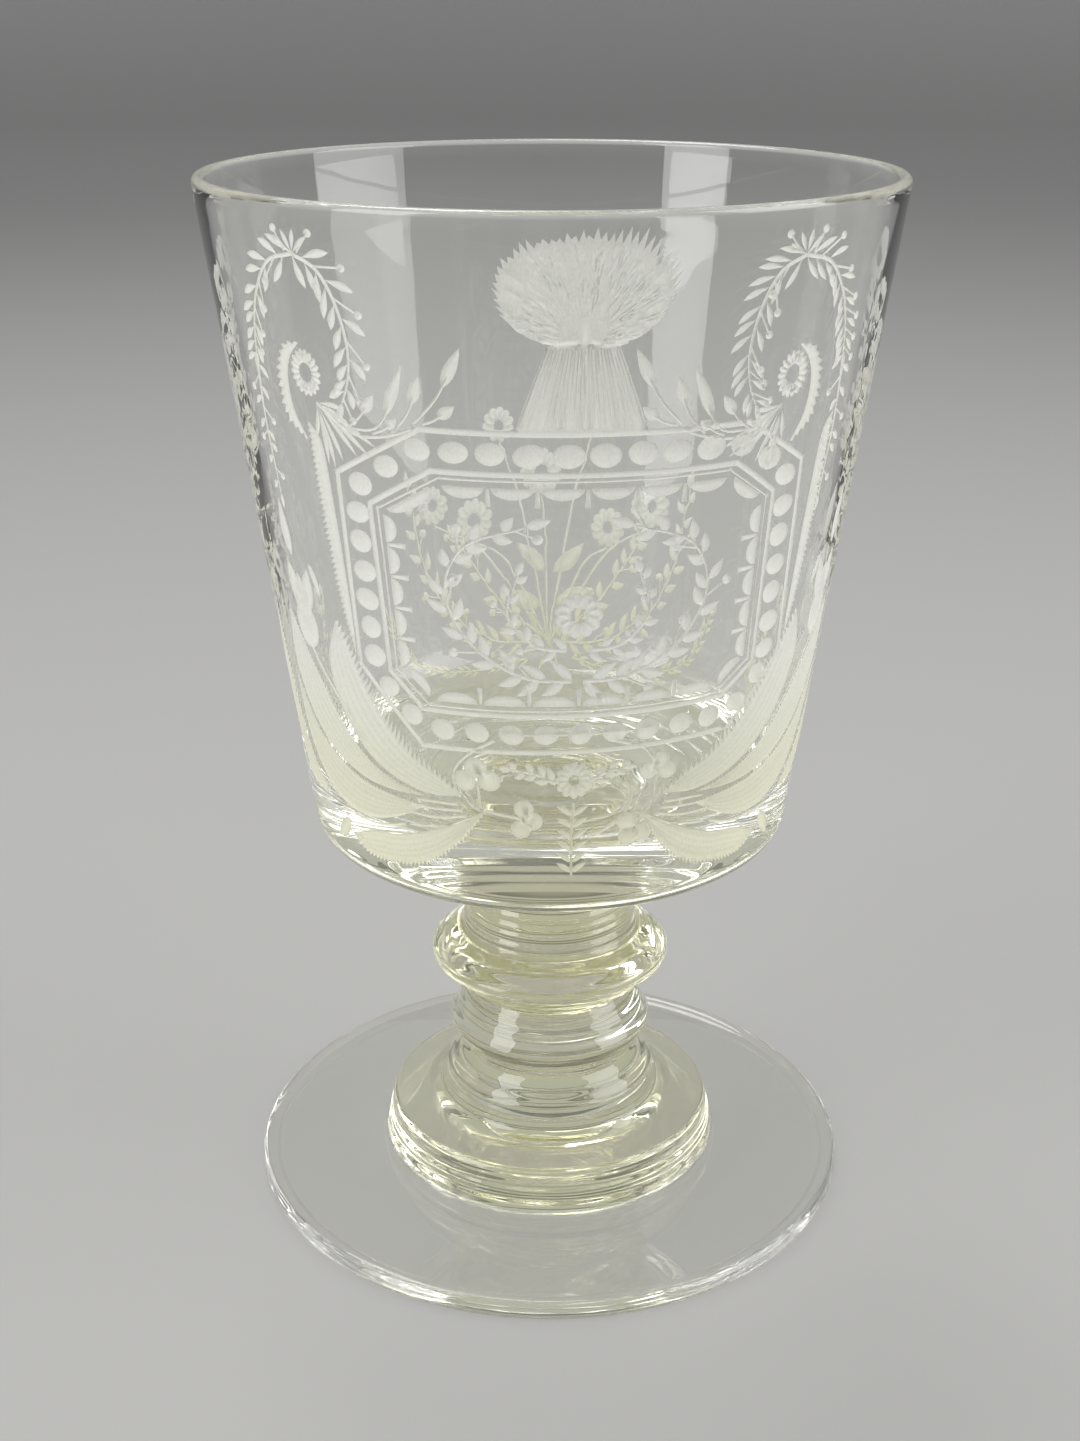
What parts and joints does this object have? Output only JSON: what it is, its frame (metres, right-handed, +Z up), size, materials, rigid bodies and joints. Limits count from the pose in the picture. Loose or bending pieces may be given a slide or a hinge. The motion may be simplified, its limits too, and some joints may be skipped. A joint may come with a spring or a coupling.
{
  "type": "rummer drinking glass",
  "caption": "Large engraved rummer: a clear bucket-shaped bowl on a waisted neck and bladed-knop stem, standing on a broad round foot with a raised terrace. Holds drink.",
  "frame": {"origin": "centre of the foot on the surface that the glass stands on", "axes": "+Z up the glass's own axis towards the rim, -Y towards the engraved front panel"},
  "size_m": [0.1062, 0.1062, 0.17],
  "materials": {
    "bowl_glass": "fire-polished clear glass with matt wheel engraving",
    "stem_glass": "fire-polished clear glass, pale straw where it is thick",
    "foot_glass": "fire-polished clear glass"
  },
  "bodies": {
    "root": {"foot": "foot_glass", "foot_terrace": "stem_glass", "stem_collar": "stem_glass", "lower_knop": "stem_glass", "upper_knop": "stem_glass", "neck": "stem_glass", "bowl": "bowl_glass"}
  },
  "joints": []
}
